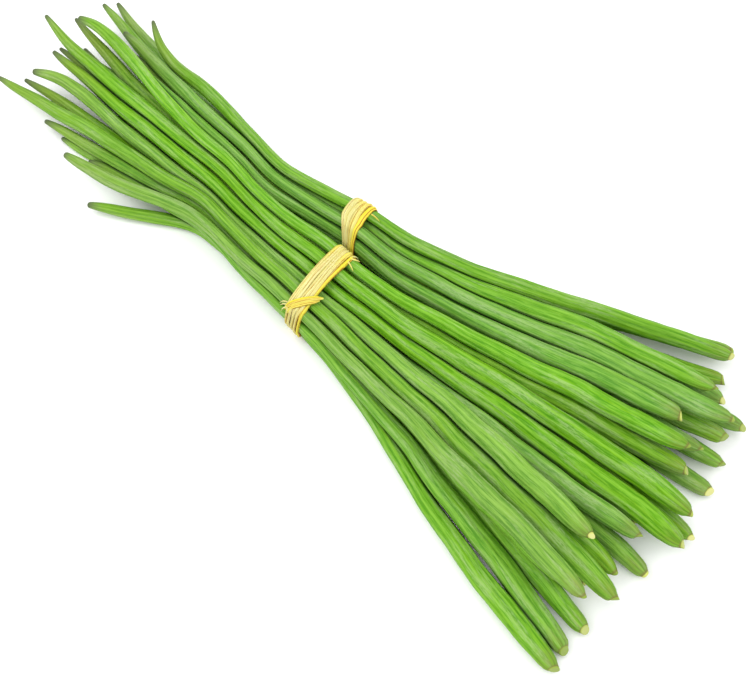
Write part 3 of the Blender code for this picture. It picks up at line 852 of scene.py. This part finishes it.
def addKnot(paths, members):
    whole = spaced(knotPath, 60)
    for number, (shift, lift, share, first, last, tone) in enumerate(knotStrands):
        draw = random.Random(40 + number)
        part = whole[int(first * 60):int(last * 60)].copy()
        heading = np.gradient(part[:, :2], axis=0)
        heading /= np.linalg.norm(heading, axis=1)[:, None]
        taper = np.interp(np.linspace(0, 1, len(part)), (0, 0.15, 0.85, 1), (0.8, 1, 1, 0.5))
        part[:, 0] -= heading[:, 1] * shift * taper
        part[:, 1] += heading[:, 0] * shift * taper
        part[:, 2] += lift
        path, outward = overSurface(members, part[:, :3], raffiaLook["thickness"] * 1.6)
        paths.add(path, outward, part[:, 3] * share * taper, part[:, 4] * 0.8 * taper, tone, False, draw)


def addFibre(paths, members, number, x, y, heading, length, tone):
    draw = random.Random(70 + number)
    steps = np.linspace(0, 1, 12)
    turn = math.radians(heading) + draw.uniform(-0.5, 0.5) * steps
    xs = x + np.cumsum(np.cos(turn)) * length / 12
    ys = y + np.cumsum(np.sin(turn)) * length / 12
    lifts = raffiaLook["fibreArch"] * np.sin(steps * math.pi * 0.8)
    path, outward = overSurface(members, np.column_stack([xs, ys, lifts]), 0.0007)
    taper = np.interp(steps, (0, 0.6, 1), (1, 0.8, 0.2))
    wide, high = raffiaLook["fibreWidth"] * taper, raffiaLook["fibreHeight"] * taper
    paths.add(path, outward, wide, high, tone, False, draw)


frontMembers = range(frontPods)
backMembers = range(frontPods, len(podNames))


# the tan colour is partly the straw's own warmth and partly painted half-shade beside the folds; the dark
# colour is painted shade in the folds and along the edges
raffiaColours = {
    "straw": shade(202, 192, 106),
    "cream": shade(220, 216, 152),
    "yellow": shade(222, 210, 36),
    "stain": shade(198, 142, 44),
    "tanStainAndShade": shade(204, 130, 34),
    "paintedFoldShade": shade(104, 62, 12),
}


def raffiaMaterial(streaks):
    material, tree, shader = newMaterial("raffiaStraw", 0.6)
    read = {key: addNode(tree, "ShaderNodeAttribute", attribute_name=key) for key in
            ("skin", "across", "tone")}
    skin, tone = read["skin"].outputs["Vector"], read["tone"].outputs["Fac"]
    apart = addNode(tree, "ShaderNodeSeparateXYZ", {0: read["across"].outputs["Vector"]})
    side, foldTurn, width = apart.outputs
    shifted = vectorMaths(tree, "ADD", skin, combined(tree, z=tone))
    grain = useGroup(tree, streaks, Vector=shifted, Around=2.2, Along=45.0, Low=0.36, High=0.62)
    stains = useGroup(tree, streaks, Vector=shifted, Around=0.8, Along=60.0, Low=0.50, High=0.66)
    colour = mixColour(tree, grain, raffiaColours["straw"], raffiaColours["cream"])
    warm = times(tree, remap(tree, tone, 0.25, 1.0, smooth=False), 0.9)
    colour = mixColour(tree, warm, colour, raffiaColours["yellow"])
    colour = mixColour(tree, times(tree, stains, 0.25), colour, raffiaColours["stain"])

    # painted shade as broken dark lines down in the folds and along the curled-down edges, with tan beside
    # them that is partly the straw's own warm colour and partly painted half-shade; none on thin fibres
    broken = useGroup(tree, streaks, Vector=shifted, Around=0.5, Along=110.0, Low=0.38, High=0.54)
    foldWave = maths(tree, "COSINE", foldTurn)
    inwards = minus(tree, 1.0, maths(tree, "ABSOLUTE", side))
    fromEdge = times(tree, times(tree, inwards, width), 0.5)
    strong = plus(tree, times(tree, broken, 0.85), 0.15)
    strong = times(tree, strong, remap(tree, width, 1.0, 1.8))
    tanStainAndShade = maths(tree, "MAXIMUM", remap(tree, foldWave, -0.4, -0.95), remap(tree, fromEdge, 0.5, 0.1))
    tanStainAndShade = times(tree, tanStainAndShade, remap(tree, tone, 0.2, 0.8, 0.22, 0.75))
    colour = mixColour(tree, times(tree, tanStainAndShade, strong), colour, raffiaColours["tanStainAndShade"])
    paintedFoldShade = maths(tree, "MAXIMUM", remap(tree, foldWave, -0.93, -0.99), remap(tree, fromEdge, 0.26, 0.08))
    paintedFoldShade = times(tree, times(tree, paintedFoldShade, strong), 0.9)
    colour = mixColour(tree, paintedFoldShade, colour, raffiaColours["paintedFoldShade"])
    tree.links.new(colour, shader.inputs["Base Color"])
    bump = addNode(tree, "ShaderNodeBump", {"Height": grain, "Strength": 0.5, "Distance": 0.0003}).outputs[0]
    tree.links.new(bump, shader.inputs["Normal"])
    shader.inputs["Specular IOR Level"].default_value = 0.25
    return material


raffiaStraw = raffiaMaterial(streakGroup)
band = StrandPaths()
addTurn(band, "front", frontMembers, frontStrands, 900, False)
addTurn(band, "back", backMembers, backStrands, 950, True)
addKnot(band, frontMembers)
for number, fibre in enumerate(fibres):
    onBack = fibre[1] > 0.02
    addFibre(band, backMembers if onBack else frontMembers, number, *fibre)
bandPiece = band.build("raffia_band", buildStrandTree(), raffiaStraw)
print("raffia laid,", len(bandPiece.data.polygons), "faces")


# Declaring the pieces to the frame

for name, pod in zip(podNames, pods):
    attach(pod, "root")
    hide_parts(name)
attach(bandPiece, "root")
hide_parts("raffia_tie")


# The table, the light and the camera

setLook = {
    "floorSize": 6.0,
    "floorShade": (0.94, 0.94, 0.95, 1),
    "worldStrength": 1.25,
    "keyPlace": (-0.7, -0.5, 1.3),
    "keySize": 0.9,
    "keyPower": 8.0,
    "fillPlace": (0.9, 0.4, 1.1),
    "fillSize": 1.2,
    "fillPower": 4.0,
    "azimuth": 42,
    "elevation": 62,
    "distance": 1.25,
    "target": (0.0410, -0.0182, 0.0),
    "lens": 100,
}


def makeFloor():
    half = setLook["floorSize"] / 2
    mesh = bpy.data.meshes.new("floor")
    corners = [(-half, -half, 0), (half, -half, 0), (half, half, 0), (-half, half, 0)]
    mesh.from_pydata(corners, [], [(0, 1, 2, 3)])
    material, tree, shader = newMaterial("paleTable", 0.7)
    shader.inputs["Base Color"].default_value = setLook["floorShade"]
    shader.inputs["Specular IOR Level"].default_value = 0.1
    mesh.materials.append(material)
    floor = bpy.data.objects.new("floor", mesh)
    bpy.context.scene.collection.objects.link(floor)


def makeLight(name, place, size, power):
    light = bpy.data.lights.new(name, "AREA")
    light.shape = "DISK"
    light.size = size
    light.energy = power
    lamp = bpy.data.objects.new(name, light)
    lamp.location = place
    lamp.rotation_euler = (-Vector(place)).to_track_quat("-Z", "Y").to_euler()
    bpy.context.scene.collection.objects.link(lamp)


def makeCamera():
    azimuth, elevation = math.radians(setLook["azimuth"]), math.radians(setLook["elevation"])
    level = math.cos(elevation)
    back = Vector((math.sin(azimuth) * level, -math.cos(azimuth) * level, math.sin(elevation)))
    camera = bpy.data.cameras.new("camera")
    camera.lens = setLook["lens"]
    camera.sensor_width = 36
    camera.clip_start = 0.05
    eye = bpy.data.objects.new("camera", camera)
    eye.location = Vector(setLook["target"]) + back * setLook["distance"]
    eye.rotation_euler = (-back).to_track_quat("-Z", "Y").to_euler()
    bpy.context.scene.collection.objects.link(eye)
    bpy.context.scene.camera = eye


def makeWorld():
    world = bpy.data.worlds.new("studio")
    bpy.context.scene.world = world
    world.use_nodes = True
    background = world.node_tree.nodes["Background"]
    background.inputs["Color"].default_value = (1, 1, 1, 1)
    background.inputs["Strength"].default_value = setLook["worldStrength"]
    bpy.context.scene.view_settings.view_transform = "Standard"


makeFloor()
makeLight("key", setLook["keyPlace"], setLook["keySize"], setLook["keyPower"])
makeLight("fill", setLook["fillPlace"], setLook["fillSize"], setLook["fillPower"])
makeCamera()
makeWorld()
print("table, lights and camera set")
